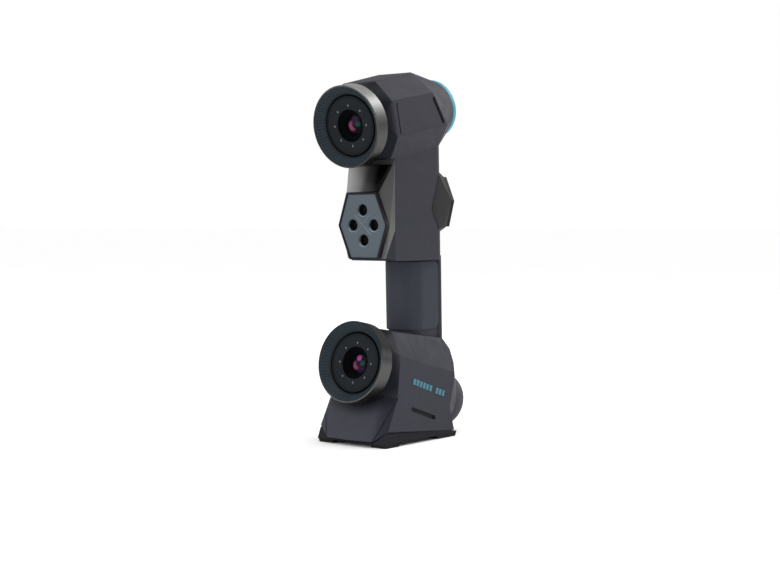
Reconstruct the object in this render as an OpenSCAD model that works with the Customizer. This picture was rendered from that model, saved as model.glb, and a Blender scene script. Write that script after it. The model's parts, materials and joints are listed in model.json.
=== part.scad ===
// Handheld dual-camera laser scanner.
// X = 0 is the symmetry plane, the cameras look along -Y, and the feet rest on Z = 0.
// The sub-parts are drawn from a datum above the foot plate, and placed() then moves them all
// so that Y = 0 is the middle of the whole scanner's depth.

/* [Camera heads] */
// Downward tilt of the upper camera
top_tilt = 11; // [8:0.5:13]
// Upward tilt of the lower camera
bottom_tilt = 10.8; // [8:0.2:13]
// Outer radius of both ring lights
ring_r = 34; // [33:0.5:35]
// Depth of both ring lights
ring_depth = 13.8; // [12:0.2:15]
// Half width of the upper head
head_half_w = 34; // [33:0.5:35]
// Length of the upper head behind its ring light
head_len = 104; // [101:1:106]

/* [Laser block] */
// Tilt of the laser plate, looking down
laser_tilt = 3.7; // [0:0.1:5]
// Half width of the laser frame at its side corners
laser_half_w = 25.8; // [25:0.2:27]
// Radius of the four laser apertures
aperture_r = 4.8; // [4:0.1:5]

/* [Body and grip] */
// Half width of the neck behind the laser block
neck_half_w = 23.5; // [23:0.5:24]
// Half width of the grip
grip_half_w = 18.5; // [17.5:0.5:19]
// Wall thickness of the casing
wall = 2.2; // [1.8:0.2:2.6]
// Thickness of the soft grip cover
cover_t = 1.8; // [1.4:0.2:2]

/* [Base] */
// Height of the rubber feet
foot_h = 3; // [2.6:0.2:3.4]
// Half width of the foot plate
plate_half_w = 35.5; // [35:0.5:37]

/* [Buttons] */
// Travel of each button
button_travel = 1; // [0.6:0.1:1.2]
// Radius of the round scan button
scan_r = 7; // [6:0.5:7.5]

/* [Hidden] */

// Fine gap between pieces that are fitted together
gap = 0.1;
// A cut runs this far past the face it opens
over = 1;

// Centre of each ring light's back face
top_cam = [0, -45.9, 263.7];
bottom_cam = [0, -40.1, 66.7];
// Centre of the laser plate's front face
laser_c = [0, -37.3, 181.2];

// Inside each ring light: reflector, disc, LEDs and lens
ring_wall = 1.2;
reflector_r = ring_r - ring_wall;
disc_r = 24.5;
disc_front = 7;
disc_t = 1.6;
lens_hole_r = 13.4;
led_circle_r = 16.55;
led_r = 1.3;
led_count = 8;
glass_r = 8.5;
glass_front = 1.6;
glass_t = 3;
glass_sphere_r = 24;
barrel_r = 13.2;
focus_r = 15;
barrel_front = 5.2;
barrel_rear = -29.8;

// Camera body behind each lens
camera_w = 29;
camera_front = -30;
camera_len = 32;
board_gap = 0.6;
tray_gap = 0.6;
tray_t = 3.8;
tray_x = 13;
tray_z = [-76, -28];
tray_screw_x = 9.2;
tray_screw_z = [-40, -54];
tray_screw_head_h = 1.6;

// Upper head: section corners as [x, height above the axis, length behind the ring]
head_corners = [[17, 35.1, 60],
                [head_half_w - 1.7, 16.5, 67.5],
                [head_half_w, -13, 81],
                [neck_half_w, -31, 78]];
head_front = 11;
head_front_drop = 1.9;
collar_r = 31;
cap_r = 25.4;
cap_h = -1.3;
cap_t = 2.6;
cap_open = wall + 0.35;
accent_t = 4;

// Lower housing: corners of the right half
base_corners = [[20, -23, 93], [33.4, -28.4, 74], [35.2, -34.8, 39.5], [34.5, 46, 55], [35, 45, 47],
                [35.5, 36, 20], [19.5, 48.6, 83.6], [21.8, 56.5, 74], [24.3, 59.2, 62], [35.2, -30, 14],
                [33, 36, 10]];
skirt_top = [35.2, -34.8, 39.5];
skirt_bend = [32.4, -45.8, 24.2];
skirt_toe = [25, -53.8, 6];
skirt_corners = [skirt_top, skirt_toe, [23, -54.8, 5.1], [0, -56.7, 5.1], [0, -45.7, 30.3],
                 [36, -48.3, 13.8], [36, 43.6, 5.6], [25, 49, 5.6], [35.4, 36, 32], [24, -40, 48]];
crease_w = 1.3;
dome_c = [0, 60.4, 29.3];
dome_r = 25.6;
dome_tilt = -14;

// Neck: side outline as [y, z]
neck_front = -22.5;
neck_bottom = 151.6;
neck_top = 252;
neck_rear = 48.6;
neck_corner_r = 11;
body_lean = 1.5;
lean_z = 122;

// Grip: rounded box from its front face to its rear face
grip_front = 9.5;
grip_rear = 51;
grip_corner_r = 13;
spine_front = 44.5;
spine_corner_r = 3;
grip_z0 = 74;
grip_z1 = 154;
cover_z0 = 91.5;
cover_z1 = 150;
cover_corner_r = 6;
cover_fit = 0.05;

// Laser block
frame_top = [15.8, 27];
frame_bottom = [15.3, -28.5];
frame_t = 1.5;
frame_depth = 4;
laser_x = 11;
laser_y = 12.5;
module_r = 4.4;
module_front = -5;
module_len = 26;
bracket_z0 = -25;
bracket_z1 = -19;
bracket_r = 18;
plate_z0 = -3.2;
plate_z1 = -0.7;
opening_inset = 6;
flare_top_z = 237.1;
flare_low_z = 177;
chin = [20.5, -31, 153.7];
hood_top = [22.3, -27.6, 231];
hood_bow = 1.2;
hood_steps = 6;

// Button housing: rim corners, and where it meets the neck
rim_y = 58.5;
rim_side = [22.4, 202.5];
rim_top = [13.7, 223.5];
rim_low = [16.9, 180.2];
bulge_side = [[neck_half_w + 0.4, 28, 195], [neck_half_w + 0.25, 38, 224], [neck_half_w + 0.25, 38, 178]];
bulge_top = [14, 45, 231];
bulge_low = [14, 45, 172.5];
panel_t = 4;
panel_lip = 2.4;
panel_rim = 1.8;
panel_floor = 1.6;
button_proud = 1.2;
key_flange = 0.6;
button_y = 202;
key_r = 3;
key_offset_x = 12.5;
key_offset_y = 12;
key_clear = 0.3;
light_r = 1.1;
light_y = 219.4;
board_z = -8.4;
board_t = 1.6;
switch_top = board_t + 0.6;
button_foot = board_z + switch_top + button_travel + 0.2;

// Openings in the casing: round for the cameras, hexagons for the laser block and the buttons,
// and a box cut in the floor of the lower housing
camera_hole_r = 20;
casing_cut = 20;
belly_x = 27;
belly_y = [-42, 34];
belly_top = 12;

// Screws that join the two casing halves, as [y, z]
shell_screw_yz = [[-11.2, 294.4], [38, 279], [-25.5, 245.5], [41, 167], [-12, 157.4], [-17.5, 85.5],
                  [42, 50], [-36, 21], [30, 17.5]];
boss_r = 4;
screw_r = 1.2;
pilot_r = 1.25;
screw_head_r = 2.6;
screw_head_h = 2;
screw_start = -19;
screw_end = 8;

// Backbone bar
bar_x = 6;
bar_y0 = 16;
bar_y1 = 28;
bar_z0 = 72;
bar_z1 = 258;
arm_x = 4;
arm_y0 = -11.8;
arm_z = [177.2, 185.2];

// Main board behind the backbone
main_board_x = 17;
main_board_y = 33;
main_board_z = [172, 236];
// Chips and plugs on it, as width, lowest z, height and how far they stand out
board_chips = [[16, 195, 16, 1.4], [24, 222, 7, 3.6], [24, 176, 6, 3.6]];

// Side slots: width, and the ends of each as [y, z] in the head's frame or the part's
vent_w = 3.6;
vent_recess = 1.3;
vent_t = 0.9;
upper_vent_c = [33.2, 1, -71.8];
upper_vent_len = 25.4;
upper_vent_tilt = 21.8;
upper_vent_yaw = 3.3;
groove_c = [33.2, 1.5, -15.8];
groove_len = 26;
groove_w = 1.5;
groove_depth = 0.9;
groove_roll = 3.3;
groove_yaw = -2;
lower_vent_c = [35.5, 0, 24];
lower_vent_len = 35;
lower_vent_tilt = -18.2;
accent_c = [35.45, 8.9, 44.8];
accent_yaw = -0.85;
accent_w = 5;
bar_pitch = 4.6;
bar_w = 3.4;
bar_count = 10;
bar_skip = 6;

// Cable socket on the lower rear cap
socket_r = 8;
socket_bore_r = 5.6;
socket_depth = 8;
dome_h = 20;
dome_lip = 2;
dome_face_r = 17;
dome_wall = 2;
dome_seat = 0.6;
socket_lip = 1.2;
socket_lip_w = 1.4;

// Foot plate: corners of the right half, feet as [y front, y rear], screws as [x, y]
plate_corners = [[plate_half_w, -52.7, foot_h], [plate_half_w, -52.2, 5], [plate_half_w, -49, 12.4],
                 [plate_half_w, 44, 5], [plate_half_w, 47.7, foot_h], [plate_half_w, 47.2, 4.4]];
foot_spans = [[-52.2, -31], [19.5, 47.7]];
foot_x0 = 20;
foot_draft = 1.5;
base_screw_xy = [[30.2, -24], [30.2, 6]];

// Middle of the depth, from the upper ring light's rim to the cable socket's lip
front_y = top_cam[1] - ring_depth * cos(top_tilt) - ring_r * sin(top_tilt);
rear_y = dome_c[1] + (dome_seat + dome_h + socket_lip) * cos(dome_tilt)
    + (socket_r + socket_lip_w) * sin(-dome_tilt);
mid_y = (front_y + rear_y) / 2;

// Colours
casing = [0.26, 0.26, 0.30];
soft = [0.25, 0.27, 0.31];
dark = [0.13, 0.13, 0.15];
slate = [0.20, 0.24, 0.27];
metal = [0.38, 0.38, 0.38];
steel = [0.6, 0.6, 0.62];
grey = [0.28, 0.28, 0.28];
accent = [0.35, 0.70, 0.82];
board = [0.05, 0.28, 0.16];
black = [0.05, 0.05, 0.05];

// ---- helpers ----

// The same points on the other side of X = 0
function both_sides(pts) = concat(pts, [for (p = pts) [-p[0], p[1], p[2]]]);

// Points drawn in from their middle, so that a hollow leaves a wall of about t
function lowest(pts, i) = min([for (p = pts) p[i]]);
function highest(pts, i) = max([for (p = pts) p[i]]);
function drawn_in(v, lo, hi, t) = (lo + hi) / 2 + (v - (lo + hi) / 2) * (1 - 2 * t / (hi - lo));
function inner(pts, t) =
    [for (p = pts) [for (i = [0:2]) drawn_in(p[i], lowest(pts, i), highest(pts, i), t)]];

// Convex solid with the given corners
module convex(pts) {
    hull() polyhedron(points = pts, faces = [[for (i = [0:len(pts) - 1]) i]]);
}

// Moves a finished sub-part from the datum to its place in the part's frame
module placed() {
    translate([0, -mid_y, 0]) children();
}

module pair() {
    children();
    mirror([1, 0, 0]) children();
}

// Frame of each camera: +Z looks out of the lens, +Y is up
module at_top_camera() {
    translate(top_cam) rotate([90 + top_tilt, 0, 0]) children();
}

module at_bottom_camera() {
    translate(bottom_cam) rotate([90 - bottom_tilt, 0, 0]) children();
}

// Frame of the laser plate: +Z looks out
module at_laser() {
    translate(laser_c) rotate([90 + laser_tilt, 0, 0]) children();
}

// Frame of the button panel: +Z looks back, +Y is up
module at_panel() {
    translate([0, rim_y, 0]) rotate([90, 0, 180]) children();
}

// Tips the neck and grip forward
module leaned() {
    translate([0, 0, lean_z]) rotate([body_lean, 0, 0]) translate([0, 0, -lean_z]) children();
}

module tube(r_out, r_in, z0, z1) {
    translate([0, 0, z0]) difference() {
        cylinder(h = z1 - z0, r = r_out, $fn = 96);
        translate([0, 0, -over]) cylinder(h = z1 - z0 + 2 * over, r = r_in, $fn = 96);
    }
}

module rod(r, z0, z1) {
    translate([0, 0, z0]) cylinder(h = z1 - z0, r = r, $fn = 64);
}

// Upright bar with a rounded section, from x = -w to w and y0 to y1
module rounded_bar(w, y0, y1, z0, z1, r) {
    translate([-w + r, y0, z0]) cube([2 * (w - r), y1 - y0, z1 - z0]);
    translate([-w, y0 + r, z0]) cube([2 * w, y1 - y0 - 2 * r, z1 - z0]);
    for (x = [-w + r, w - r], y = [y0 + r, y1 - r])
        translate([x, y, z0]) cylinder(h = z1 - z0, r = r, $fn = 48);
}

// Hexagon of the laser block, drawn in by t
module laser_hexagon(t) {
    polygon([[frame_top[0] - t, frame_top[1] - t], [laser_half_w - 1.1 * t, 0],
             [frame_bottom[0] - t, frame_bottom[1] + t], [-frame_bottom[0] + t, frame_bottom[1] + t],
             [-laser_half_w + 1.1 * t, 0], [-frame_top[0] + t, frame_top[1] - t]]);
}

// Hexagon of the button panel, drawn in by t
module panel_hexagon(t) {
    polygon([[rim_top[0] - 0.6 * t, rim_top[1] - t], [rim_side[0] - 1.1 * t, rim_side[1]],
             [rim_low[0] - 0.6 * t, rim_low[1] + t], [-rim_low[0] + 0.6 * t, rim_low[1] + t],
             [-rim_side[0] + 1.1 * t, rim_side[1]], [-rim_top[0] + 0.6 * t, rim_top[1] - t]]);
}

// ---- outer volumes of the casing, each drawn in by t ----

// Corners only, for use inside a hull
module corners(pts) {
    polyhedron(points = pts, faces = [[for (i = [0:len(pts) - 1]) i]]);
}

head_points = concat([for (c = head_corners) [c[0], c[1] - (c[1] > 30 ? head_front_drop : 0), -head_front]],
                     [for (c = head_corners) [c[0], c[1], -c[2]]]);

module head_volume(t) {
    at_top_camera() hull() {
        corners(inner(both_sides(head_points), t));
        translate([0, 0, -1 - t]) cylinder(h = 0.6, r = collar_r - t, $fn = 64);
        translate([0, cap_h, -head_len]) cylinder(h = 0.6 + t, r = cap_r - t, $fn = 64);
    }
}

module neck_volume(t) {
    intersection() {
        translate([-neck_half_w - over, neck_front + t, neck_bottom + t])
            cube([2 * (neck_half_w + over), 100, neck_top - neck_bottom - 2.4 * t]);
        leaned() rounded_bar(neck_half_w - t, -60, neck_rear - t, 140, 262, neck_corner_r);
    }
}

module chin_wedge() {
    rear = neck_front + 3 * wall;
    convex(both_sides([[neck_half_w, neck_front, flare_low_z], chin, [neck_half_w, neck_front, chin[2]],
                       [neck_half_w, rear, flare_low_z], [neck_half_w, rear, chin[2]]]));
}

// Grip under its cover, drawn in by t, from its front to the given rear
module grip_core(t, rear) {
    intersection() {
        rounded_bar(grip_half_w - cover_t - t, grip_front + cover_t + t, 2 * grip_rear,
                    grip_z0, grip_z1, grip_corner_r - cover_t);
        translate([-grip_half_w, 0, 0]) cube([2 * grip_half_w, rear, neck_top]);
    }
}

module grip_volume() {
    leaned() {
        grip_core(0, spine_front + spine_corner_r);
        rounded_bar(grip_half_w, spine_front, grip_rear, grip_z0, grip_z1, spine_corner_r);
    }
}

module base_volume(t) {
    hull() {
        corners(inner(both_sides(base_corners), t));
        translate(dome_c) rotate([-90 + dome_tilt, 0, 0]) cylinder(h = 0.6, r = dome_r - t, $fn = 64);
        at_bottom_camera() translate([0, 0, -1 - t]) cylinder(h = 0.6, r = collar_r - t, $fn = 64);
    }
}

module skirt_volume(t) {
    convex(inner(both_sides(skirt_corners), t));
}

// ---- casing ----

module bosses(r, x0, x1) {
    for (p = shell_screw_yz)
        translate([x0, p[0], p[1]]) rotate([0, 90, 0]) cylinder(h = x1 - x0, r = r, $fn = 32);
}

module casing_openings() {
    at_top_camera() rod(camera_hole_r, -head_front, over);
    at_top_camera() translate([0, cap_h, 0]) rod(cap_r - cap_open, -head_len - over, -head_len + 3);
    at_bottom_camera() rod(camera_hole_r, -head_front, over);
    translate(dome_c) rotate([-90 + dome_tilt, 0, 0]) rod(dome_r - cap_open, -3, 2);
    at_laser() translate([0, 0, -casing_cut]) linear_extrude(height = 1.6 * casing_cut)
        laser_hexagon(opening_inset);
    at_panel() translate([0, 0, -casing_cut]) linear_extrude(height = casing_cut - 2 * wall) panel_hexagon(6);
    translate([-belly_x, belly_y[0], 0]) cube([2 * belly_x, belly_y[1] - belly_y[0], belly_top]);
}

module upper_vent_slot(depth0, depth1, fit) {
    pair() at_top_camera() translate(upper_vent_c)
        rotate([0, 0, upper_vent_yaw]) rotate([upper_vent_tilt, 0, 0])
            side_slot(upper_vent_len, vent_w, depth0, depth1, fit);
}

module lower_vent_slot(depth0, depth1, fit) {
    pair() translate(lower_vent_c) rotate([lower_vent_tilt, 0, 0])
        side_slot(lower_vent_len, vent_w, depth0, depth1, fit);
}

// Shallow groove behind the front edge of the upper head's sides
module head_groove() {
    pair() at_top_camera() translate(groove_c) rotate([0, 0, groove_roll]) rotate([groove_yaw, 0, 0])
        side_slot(groove_len, groove_w, -groove_depth, vent_w, 0);
}

// A slot with round ends that runs along Y through a side wall
module side_slot(length, width, depth0, depth1, fit) {
    r = width / 2 - fit;
    translate([depth0, -length / 2 + width / 2, -r]) cube([depth1 - depth0, length - width, 2 * r]);
    for (y = [-length / 2 + width / 2, length / 2 - width / 2])
        translate([depth0, y, 0]) rotate([0, 90, 0]) cylinder(h = depth1 - depth0, r = r, $fn = 24);
}

// V-shaped groove from one point to another, over both ends by a little
module v_groove(a, b) {
    run = b - a;
    across = norm([run[0], run[1]]);
    translate(a) rotate([0, 0, atan2(run[1], run[0])]) rotate([0, atan2(-run[2], across), 0])
        rotate([45, 0, 0]) translate([-crease_w / 3, -crease_w / 2, -crease_w / 2])
            cube([norm(run) + crease_w / 2, crease_w, crease_w]);
}

// Groove in the skirt's front, from the edge beside the ring light down to the toe
module front_crease() {
    pair() {
        v_groove(skirt_top, skirt_bend);
        v_groove(skirt_bend, skirt_toe);
    }
}

// Both halves of the casing, before they are parted
module casing_body() {
    difference() {
        union() {
            head_volume(0);
            neck_volume(0);
            chin_wedge();
            grip_volume();
            base_volume(0);
            skirt_volume(0);
        }
        difference() {
            union() {
                head_volume(wall);
                neck_volume(wall);
                leaned() grip_core(wall, grip_rear - wall);
                base_volume(wall);
                skirt_volume(wall);
            }
            bosses(boss_r, -60, 60);
        }
        casing_openings();
        upper_vent_slot(-3 * wall, vent_w, 0);
        lower_vent_slot(-3 * wall, vent_w, 0);
        head_groove();
        front_crease();
        base_screw_rods(pilot_r, 0, belly_top);
    }
}

module shell_right() {
    color(casing) difference() {
        casing_body();
        translate([-100, -100, -over]) cube([100, 250, 400]);
        bosses(pilot_r, -over, screw_end + over);
    }
}

module shell_left() {
    color(casing) difference() {
        casing_body();
        translate([0, -100, -over]) cube([100, 250, 400]);
        bosses(pilot_r + 0.2, screw_start - over, over);
        bosses(screw_head_r + 0.2, -60, screw_start);
    }
}

module shell_screws() {
    color(steel) {
        bosses(screw_r, screw_start, screw_end);
        bosses(screw_head_r, screw_start - screw_head_h, screw_start);
    }
}

module grip_cover() {
    color(soft) leaned() difference() {
        intersection() {
            rounded_bar(grip_half_w, grip_front, 2 * grip_rear, cover_z0, cover_z1, grip_corner_r);
            translate([-50, 0, 0]) cover_outline();
        }
        translate([0, 0, -over])
            rounded_bar(grip_half_w - cover_t + cover_fit, grip_front + cover_t - cover_fit,
                        2 * grip_rear, cover_z0, cover_z1 + 2 * over, grip_corner_r - cover_t);
    }
}

// Side view of the cover, with its rear corners rounded
module cover_outline() {
    rear = spine_front - gap;
    translate([0, 0, cover_z0]) cube([100, rear - cover_corner_r, cover_z1 - cover_z0]);
    translate([0, 0, cover_z0 + cover_corner_r]) cube([100, rear, cover_z1 - cover_z0 - 2 * cover_corner_r]);
    for (z = [cover_z0 + cover_corner_r, cover_z1 - cover_corner_r])
        translate([0, rear - cover_corner_r, z]) rotate([0, 90, 0])
            cylinder(h = 100, r = cover_corner_r, $fn = 48);
}

// ---- foot plate ----

module base_plate() {
    color(dark) difference() {
        convex(both_sides(plate_corners));
        skirt_volume(-gap);
        base_screw_rods(screw_r + 0.4, 0, 20);
        base_screw_rods(screw_head_r + 0.2, 0, foot_h + 1.2);
    }
}

module base_screw_rods(r, z0, z1) {
    pair() for (p = base_screw_xy) translate([p[0], p[1], 0]) rod(r, z0, z1);
}

module base_screws() {
    color(steel) {
        base_screw_rods(screw_r, foot_h + 1.2, 9);
        base_screw_rods(screw_head_r, foot_h + 0.1, foot_h + 1.2);
    }
}

module rubber_feet() {
    color(black) pair() for (f = foot_spans)
        translate([foot_x0, 0, 0]) rotate([90, 0, 90]) linear_extrude(height = plate_half_w - foot_x0)
            polygon([[f[0] + foot_draft, 0], [f[1] - foot_draft, 0], [f[1], foot_h], [f[0], foot_h]]);
}

// ---- ring lights and cameras, each drawn in the camera's own frame ----

module ring_housing() {
    color(metal) rotate_extrude($fn = 128)
        polygon([[barrel_r + 3, -0.3], [ring_r - 1, -0.3], [ring_r, 0.7], [ring_r, ring_depth - 0.5],
                 [ring_r - 0.5, ring_depth], [ring_r - ring_wall, ring_depth], [ring_r - ring_wall, 2],
                 [barrel_r + 3, 2]]);
}

module reflector() {
    color(slate) rotate_extrude($fn = 128)
        polygon([[disc_r + gap, 2.2], [reflector_r - gap, 2.2], [reflector_r - gap, ring_depth - 0.6],
                 [disc_r + gap, disc_front - 0.3]]);
}

// Places eight children evenly round the lens, the first at the top
module round_leds() {
    for (i = [0:led_count - 1])
        rotate([0, 0, 90 + i * 360 / led_count]) translate([led_circle_r, 0, 0]) children();
}

module led_disc() {
    color(slate) difference() {
        tube(disc_r, lens_hole_r, disc_front - disc_t, disc_front);
        round_leds() rod(led_r + gap, 0, disc_front + over);
    }
}

module leds() {
    color([0.8, 0.8, 0.8]) round_leds() rod(led_r, disc_front - disc_t - 1.4, disc_front - 0.3);
}

module lens_barrel() {
    color(black) rotate_extrude($fn = 96)
        polygon([[0, barrel_rear], [barrel_r - 1, barrel_rear], [barrel_r - 1, -24], [focus_r, -24],
                 [focus_r, -8], [barrel_r, -8], [barrel_r, barrel_front], [barrel_r - 0.8, barrel_front],
                 [barrel_r - 1.6, barrel_front - 1], [barrel_r - 1.8, glass_front + 2.4],
                 [glass_r + 1.7, glass_front + 2.4], [glass_r + 1.5, glass_front + 1.2],
                 [glass_r + 0.4, glass_front + 1.2], [glass_r + 0.05, glass_front + 0.4],
                 [glass_r + 0.05, glass_front - glass_t], [glass_r - 1.5, glass_front - glass_t],
                 [glass_r - 2.5, -14], [0, -14]]);
}

module lens_glass() {
    color([0.35, 0.15, 0.3]) intersection() {
        rod(glass_r, glass_front - glass_t, glass_front + over);
        translate([0, 0, glass_front - glass_sphere_r]) sphere(r = glass_sphere_r, $fn = 96);
    }
}

module camera_box() {
    color(dark) difference() {
        translate([-camera_w / 2, -camera_w / 2, camera_front - camera_len])
            cube([camera_w, camera_w, camera_len]);
        camera_screw_rods(pilot_r, -camera_w, camera_w);
    }
}

module sensor_board() {
    color(board) translate([-camera_w / 2, -camera_w / 2, camera_front - camera_len - board_gap - board_t])
        cube([camera_w, camera_w, board_t]);
}

// Screw axes run along the frame's Y, through the tray into the camera box; side is -1 or 1
module camera_screw_rods(r, y0, y1) {
    for (x = [-tray_screw_x, tray_screw_x], z = tray_screw_z)
        translate([x, y0, z]) rotate([-90, 0, 0]) cylinder(h = y1 - y0, r = r, $fn = 24);
}

module camera_tray(side) {
    near = camera_w / 2 + tray_gap;
    translate([-tray_x, side > 0 ? near : -near - tray_t, tray_z[0]])
        cube([2 * tray_x, tray_t, tray_z[1] - tray_z[0]]);
}

module camera_tray_holes(side) {
    camera_screw_rods(pilot_r + 0.2, side > 0 ? 0 : -camera_w, side > 0 ? camera_w : 0);
}

module tray_screws(side) {
    outer = camera_w / 2 + tray_gap + tray_t;
    camera_screw_rods(screw_r, side > 0 ? outer - 8 : -outer, side > 0 ? outer : 8 - outer);
    head = outer + tray_screw_head_h;
    camera_screw_rods(screw_head_r, side > 0 ? outer : -head, side > 0 ? head : -outer);
}

module camera_screws() {
    color(steel) {
        at_top_camera() tray_screws(-1);
        at_bottom_camera() tray_screws(1);
    }
}

module backbone() {
    color([0.55, 0.56, 0.58]) {
        translate([-bar_x, bar_y0, bar_z0]) cube([2 * bar_x, bar_y1 - bar_y0, bar_z1 - bar_z0]);
        translate([-arm_x, arm_y0, arm_z[0]]) cube([2 * arm_x, bar_y0 - arm_y0 + over, arm_z[1] - arm_z[0]]);
        at_top_camera() difference() {
            camera_tray(-1);
            camera_tray_holes(-1);
        }
        at_bottom_camera() difference() {
            camera_tray(1);
            camera_tray_holes(1);
        }
    }
}

module top_ring_housing() { at_top_camera() ring_housing(); }
module top_reflector() { at_top_camera() reflector(); }
module top_led_disc() { at_top_camera() led_disc(); }
module top_leds() { at_top_camera() leds(); }
module top_lens_barrel() { at_top_camera() lens_barrel(); }
module top_lens_glass() { at_top_camera() lens_glass(); }
module top_camera() { at_top_camera() camera_box(); }
module top_sensor_board() { at_top_camera() sensor_board(); }
module bottom_ring_housing() { at_bottom_camera() ring_housing(); }
module bottom_reflector() { at_bottom_camera() reflector(); }
module bottom_led_disc() { at_bottom_camera() led_disc(); }
module bottom_leds() { at_bottom_camera() leds(); }
module bottom_lens_barrel() { at_bottom_camera() lens_barrel(); }
module bottom_lens_glass() { at_bottom_camera() lens_glass(); }
module bottom_camera() { at_bottom_camera() camera_box(); }
module bottom_sensor_board() { at_bottom_camera() sensor_board(); }

// ---- rear caps ----

module at_top_cap() {
    at_top_camera() translate([0, cap_h, -head_len]) children();
}

// Frame of the lower rear cap: +Z looks out of the back
module at_dome() {
    translate(dome_c) rotate([-90 + dome_tilt, 0, 0]) translate([0, 0, dome_seat]) children();
}

module accent_ring() {
    color(accent) at_top_cap() tube(cap_r, cap_r - 3, -accent_t, -0.02);
}

module top_rear_cap() {
    color(dark) at_top_cap() {
        rod(cap_r - 3 - gap, -accent_t, 2);
        rotate_extrude($fn = 96)
            polygon([[0, -accent_t], [cap_r - 0.6, -accent_t], [cap_r - 1.6, -accent_t - cap_t * 0.6],
                     [cap_r - 4, -accent_t - cap_t], [0, -accent_t - cap_t]]);
    }
}

module bottom_rear_cap() {
    arc = [for (a = [0:10:80]) [cos(a), sin(a)]];
    color(casing) at_dome() difference() {
        union() {
            rotate_extrude($fn = 96)
                polygon(concat([[0, 0.02], [dome_r, 0.02]],
                               [for (p = arc) [dome_face_r + (dome_r - dome_face_r) * p[0],
                                               dome_lip + (dome_h - dome_lip) * p[1]]],
                               [[dome_face_r, dome_h], [0, dome_h]]));
            tube(dome_r - cap_open - gap, dome_r - cap_open - 2, -2.5, 1);
        }
        rod(dome_r - cap_open - 2, -3, dome_lip);
        translate([0, 0, dome_lip - gap])
            cylinder(h = dome_h - dome_lip - dome_wall, r1 = dome_r - cap_open - 2, r2 = dome_face_r,
                     $fn = 96);
        rod(socket_r + gap, 0, dome_h + over);
    }
}

module cable_socket() {
    color(steel) at_dome() difference() {
        union() {
            rod(socket_r, dome_lip + over, dome_h + socket_lip);
            tube(socket_r + socket_lip_w, socket_r - over, dome_h + 0.02, dome_h + socket_lip);
        }
        rod(socket_bore_r, dome_h + socket_lip - socket_depth, dome_h + 2 * socket_lip);
    }
}

// ---- laser block ----

// Place in the part of a point in the laser plate's frame
function from_laser(x, y, z) =
    laser_c + [x, -y * sin(laser_tilt) - z * cos(laser_tilt), y * cos(laser_tilt) - z * sin(laser_tilt)];

module at_lasers() {
    for (p = [[laser_x, 0], [-laser_x, 0], [0, laser_y], [0, -laser_y]])
        translate([p[0], p[1], 0]) children();
}

frame_corners = [[frame_top[0], frame_top[1]], [laser_half_w, 0], [frame_bottom[0], frame_bottom[1]]];
flare_points = concat([for (c = frame_corners) from_laser(c[0], c[1], -frame_depth - 0.05)],
                      [[neck_half_w, neck_front - 0.05, flare_top_z],
                       [neck_half_w, neck_front - 0.05, flare_low_z], chin - [0, 0.05, 0]]);

module flare_volume() {
    convex(both_sides(flare_points));
}

module laser_housing() {
    color(grey) difference() {
        flare_volume();
        chin_wedge();
        at_laser() translate([0, 0, -30]) linear_extrude(height = 32) laser_hexagon(opening_inset);
    }
}

module laser_frame() {
    color(black) at_laser() translate([0, 0, -frame_depth]) linear_extrude(height = frame_depth)
        difference() {
            laser_hexagon(0);
            laser_hexagon(frame_t);
        }
}

module laser_plate() {
    color([0.36, 0.41, 0.45]) at_laser() difference() {
        translate([0, 0, plate_z0]) linear_extrude(height = plate_z1 - plate_z0)
            laser_hexagon(frame_t + 0.05);
        at_lasers() rod(aperture_r, -10, over);
        at_lasers() translate([0, 0, plate_z1 - 0.8])
            cylinder(h = 1, r1 = aperture_r, r2 = aperture_r + 1, $fn = 64);
    }
}

module laser_windows() {
    color([0.1, 0.1, 0.12]) at_laser() at_lasers() rod(aperture_r + 0.4, plate_z0 - 1, plate_z0 - 0.02);
}

module laser_modules() {
    color([0.6, 0.5, 0.3]) at_laser() at_lasers() rod(module_r, module_front - module_len, module_front);
}

module laser_bracket() {
    color(metal) at_laser() difference() {
        rod(bracket_r, bracket_z0, bracket_z1);
        at_lasers() rod(module_r + 0.02, bracket_z0 - over, bracket_z1 + over);
    }
}

module laser_hood() {
    steps = [for (i = [-hood_steps:hood_steps]) i / hood_steps];
    foot_line = [for (u = steps) from_laser((frame_top[0] - 0.2) * u, frame_top[1] + 0.2, -0.6)];
    foot_back = [for (u = steps) from_laser((frame_top[0] - 0.2) * u, frame_top[1] + 0.2, -frame_depth - 1)];
    top_line = [for (u = steps) [hood_top[0] * u, hood_top[1] - hood_bow * (1 - u * u), hood_top[2]]];
    top_back = [for (u = steps) [hood_top[0] * u, hood_top[1] + 2, hood_top[2]]];
    color(black) difference() {
        convex(concat(foot_line, foot_back, top_line, top_back));
        convex(both_sides([for (p = flare_points) p - [0, 0.05, 0]]));
    }
}

// ---- buttons on the back ----

module button_housing() {
    rim = [for (c = [rim_side, rim_top, rim_low]) [c[0], rim_y, c[1]]];
    color(grey) difference() {
        convex(both_sides(concat(rim, bulge_side, [bulge_top, bulge_low])));
        neck_volume(-0.02);
        at_panel() translate([0, 0, -casing_cut]) linear_extrude(height = casing_cut + over)
            panel_hexagon(panel_lip);
    }
}

module key_spots() {
    for (p = [[0, key_offset_y], [0, -key_offset_y], [key_offset_x, 0], [-key_offset_x, 0]])
        translate([p[0], button_y + p[1], 0]) children();
}

module button_panel() {
    color(dark) at_panel() difference() {
        translate([0, 0, 0.02]) linear_extrude(height = panel_t) panel_hexagon(0);
        translate([0, 0, panel_floor]) linear_extrude(height = panel_t) panel_hexagon(panel_rim);
        translate([0, button_y, 0]) rod(scan_r + key_clear, -over, panel_t);
        key_spots() rod(key_r + key_clear, -over, panel_t);
        translate([0, light_y, 0]) rod(light_r + 0.05, -over, panel_t);
    }
}

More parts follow.
